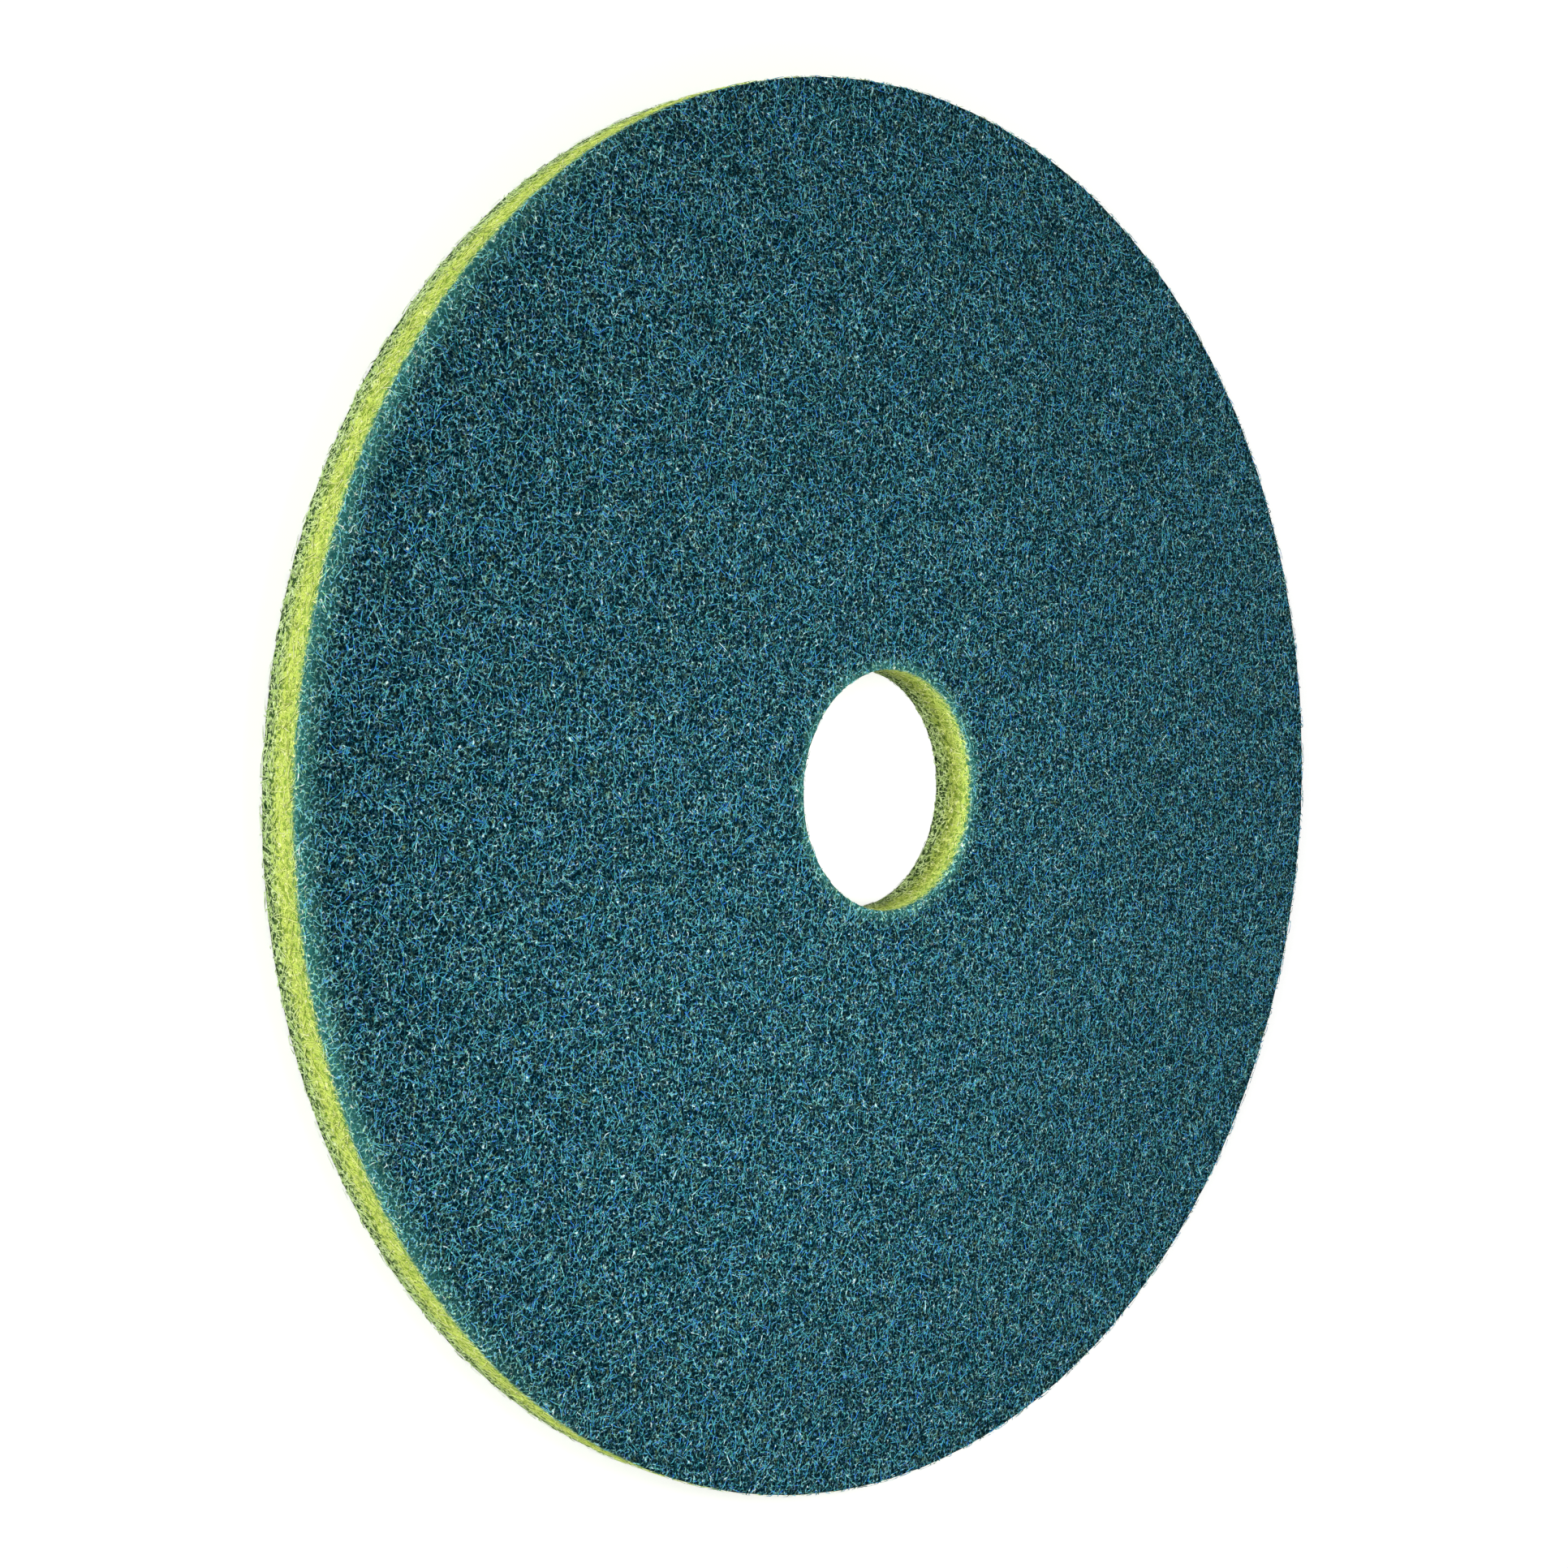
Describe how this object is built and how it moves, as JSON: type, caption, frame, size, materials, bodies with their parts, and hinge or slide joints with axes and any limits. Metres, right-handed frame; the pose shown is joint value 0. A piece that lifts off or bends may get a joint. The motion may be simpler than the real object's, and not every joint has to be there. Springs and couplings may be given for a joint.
{
  "type": "floor polishing pad",
  "caption": "Round flat pad of open fibre web with a punched centre hole, coated on its upper face, driven by a floor machine.",
  "frame": {"origin": "centre of the pad's underside, on the pad's axis", "axes": "+Z along the pad's axis, up from the underside to the top face; X and Y lie in the underside and are alike, because the pad is round"},
  "size_m": [0.508, 0.508, 0.02],
  "materials": {
    "fibre_web": "open non-woven fibre web, matt: dark blue-green coat on the upper face, yellow-green below it at the cut edges and on the underside"
  },
  "bodies": {
    "root": {"pad": "fibre_web"}
  },
  "joints": []
}
